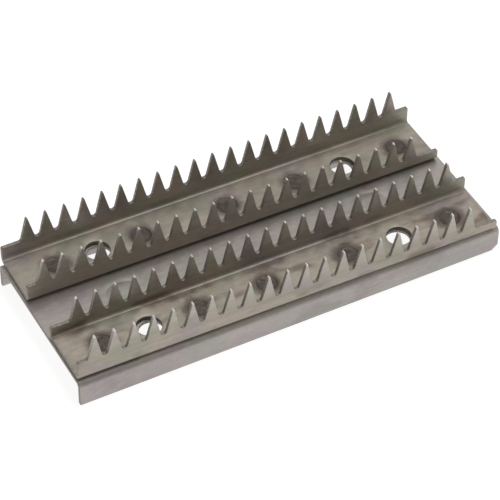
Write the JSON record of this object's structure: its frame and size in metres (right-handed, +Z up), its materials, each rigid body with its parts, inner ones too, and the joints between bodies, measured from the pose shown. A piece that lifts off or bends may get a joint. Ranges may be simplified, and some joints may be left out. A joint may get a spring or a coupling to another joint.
{
  "type": "knee kicker gripper plate",
  "caption": "Toothed gripper plate of a carpet knee kicker: folded steel base with spot-welded toothed U channels and screw holes.",
  "frame": {"origin": "centre of the plate's footprint, at the height of the two folded edges that it stands on", "axes": "+X along the tooth rows, left to right in the picture's view; +Y towards the rear tooth row; +Z up, the way the teeth point"},
  "size_m": [0.1448, 0.0586, 0.0253],
  "materials": {
    "base_steel": "mill-finish cold-rolled steel, rolling grain along the length",
    "channel_steel": "mill-finish cold-rolled steel, heat-stained round the welds, bright worn tips",
    "weld_steel": "dark oxidised weld print with purple and green heat tint"
  },
  "bodies": {
    "root": {"base_plate": "base_steel", "rear_tooth_channel": "channel_steel", "front_tooth_channel": "channel_steel", "rear_channel_weld_1": "weld_steel", "rear_channel_weld_2": "weld_steel", "rear_channel_weld_3": "weld_steel", "rear_channel_weld_4": "weld_steel", "rear_channel_weld_5": "weld_steel", "front_channel_weld_1": "weld_steel", "front_channel_weld_2": "weld_steel", "front_channel_weld_3": "weld_steel", "front_channel_weld_4": "weld_steel", "front_channel_weld_5": "weld_steel"}
  },
  "joints": []
}
